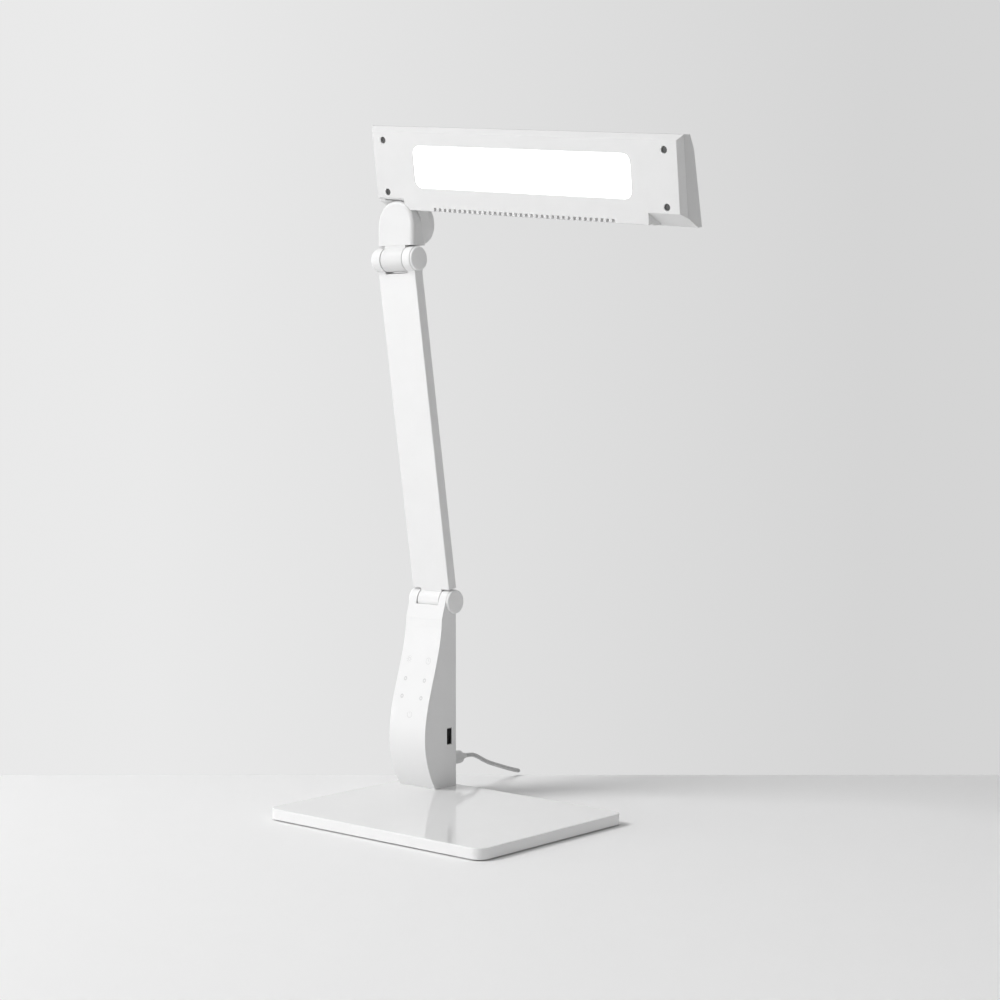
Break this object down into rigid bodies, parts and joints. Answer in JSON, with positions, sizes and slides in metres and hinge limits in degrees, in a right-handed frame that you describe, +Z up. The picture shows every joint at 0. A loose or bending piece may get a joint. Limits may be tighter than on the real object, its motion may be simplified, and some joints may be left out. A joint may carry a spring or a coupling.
{
  "type": "light therapy lamp",
  "caption": "Desk light therapy lamp: a long bright rectangular head on a flat folding arm and a touch-panel stand, on a flat weighted base.",
  "frame": {"origin": "centre of the underside of the base's anti-slip pad", "axes": "+Z up, -Y towards the user (the lit face), +X to the user's right along the head"},
  "size_m": [0.3112, 0.4478, 0.5262],
  "materials": {
    "gloss_white": "polished, mirror-like",
    "satin_white": "satin",
    "rubber_pad": "matte",
    "steel": "zinc plated",
    "dark_screw": "satin black",
    "friction_washer": "satin",
    "connector_shell": "bright",
    "connector_plastic": "moulded",
    "circuit_board": "solder mask",
    "led": "phosphor",
    "opal_diffuser": "opal, frosted",
    "cord_grey": "smooth",
    "adapter_white": "fine grain",
    "blade_metal": "nickel plated"
  },
  "bodies": {
    "base": {"base_top_cover": "gloss_white", "base_bottom_cover": "satin_white", "base_screws": "steel", "ballast_plate": "steel", "anti_slip_pad": "rubber_pad", "stand_front_cover": "satin_white", "stand_rear_shell": "satin_white", "usb_socket_shell": "connector_shell", "usb_tongue": "connector_plastic", "control_board": "circuit_board", "control_board_posts": "satin_white", "dc_inlet": "connector_plastic", "dc_plug": "cord_grey", "dc_plug_sleeve": "connector_shell", "plug_strain_relief": "cord_grey", "touch_sensor_board": "circuit_board", "lower_hinge_pin": "steel", "lower_hinge_washers": "friction_washer", "lower_hinge_caps": "satin_white", "power_cord": "cord_grey", "cord_coil": "cord_grey", "coil_tie": "cord_grey", "adapter_lead": "cord_grey", "adapter_strain_relief": "cord_grey", "power_adapter": "adapter_white", "adapter_blades": "blade_metal"},
    "arm": {"arm_front_shell": "satin_white", "arm_rear_shell": "satin_white", "arm_knuckle": "satin_white", "arm_fork": "satin_white", "arm_core_bar": "steel", "upper_hinge_pin": "steel", "upper_hinge_washers": "friction_washer", "upper_hinge_caps": "satin_white"},
    "neck": {"neck_front_cover": "satin_white", "neck_bracket": "satin_white", "swivel_pin": "steel", "swivel_nut": "steel", "swivel_washer": "steel"},
    "head": {"head_front_cover": "satin_white", "head_rear_housing": "satin_white", "head_screws": "dark_screw", "diffuser": "opal_diffuser", "reflector_frame": "satin_white", "led_board": "circuit_board", "leds": "led", "driver_board": "circuit_board", "swivel_pocket_cover": "satin_white"}
  },
  "joints": [
    {"name": "arm_fold", "type": "hinge", "parent": "base", "child": "arm", "pos_m": [-0.077, 0.0744, 0.1554], "axis": [1, 0, 0], "range_deg": [-20, 45]},
    {"name": "head_tilt", "type": "hinge", "parent": "arm", "child": "neck", "pos_m": [-0.077, 0.03294, 0.42321], "axis": [1, 0, 0], "range_deg": [-45, 60]},
    {"name": "head_swivel", "type": "hinge", "parent": "neck", "child": "head", "pos_m": [-0.077, 0.03164, 0.44886], "axis": [0, -0.97, -0.2431], "range_deg": [-30, 96]}
  ]
}
